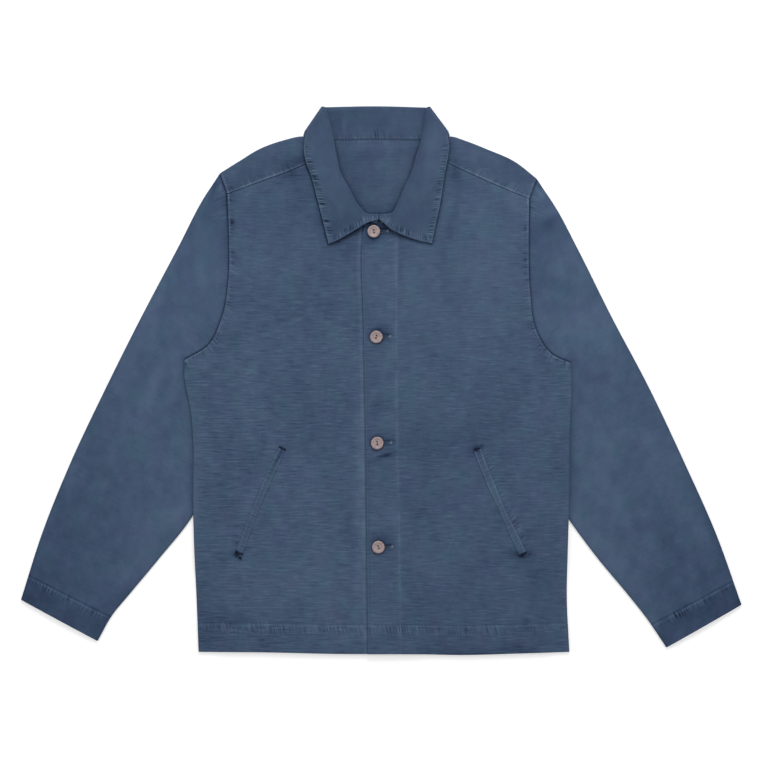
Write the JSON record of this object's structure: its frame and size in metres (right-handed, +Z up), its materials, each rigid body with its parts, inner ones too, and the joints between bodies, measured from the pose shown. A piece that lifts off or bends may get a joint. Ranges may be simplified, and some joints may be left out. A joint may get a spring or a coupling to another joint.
{
  "type": "shell jacket, laid flat",
  "caption": "Thin unlined cotton jacket with a fold-down collar, buttoned front, slanted welt pockets and long set-in sleeves, laid flat on its back.",
  "frame": {"origin": "on the floor, below the centre of the jacket's bounding box", "axes": "+X across the jacket to the wearer's left, +Y from hem to collar, +Z up out of the floor"},
  "size_m": [1.0099, 0.7684, 0.0112],
  "materials": {
    "body_cloth": "garment-dyed slub cotton, matt, blue",
    "button": "pale pinkish tan, half matt"
  },
  "bodies": {
    "root": {"back": "body_cloth", "right_front": "body_cloth", "left_front": "body_cloth", "right_sleeve": "body_cloth", "left_sleeve": "body_cloth", "collar": "body_cloth", "right_welt": "body_cloth", "left_welt": "body_cloth", "button_1": "button", "button_2": "button", "button_3": "button", "button_4": "button"}
  },
  "joints": []
}
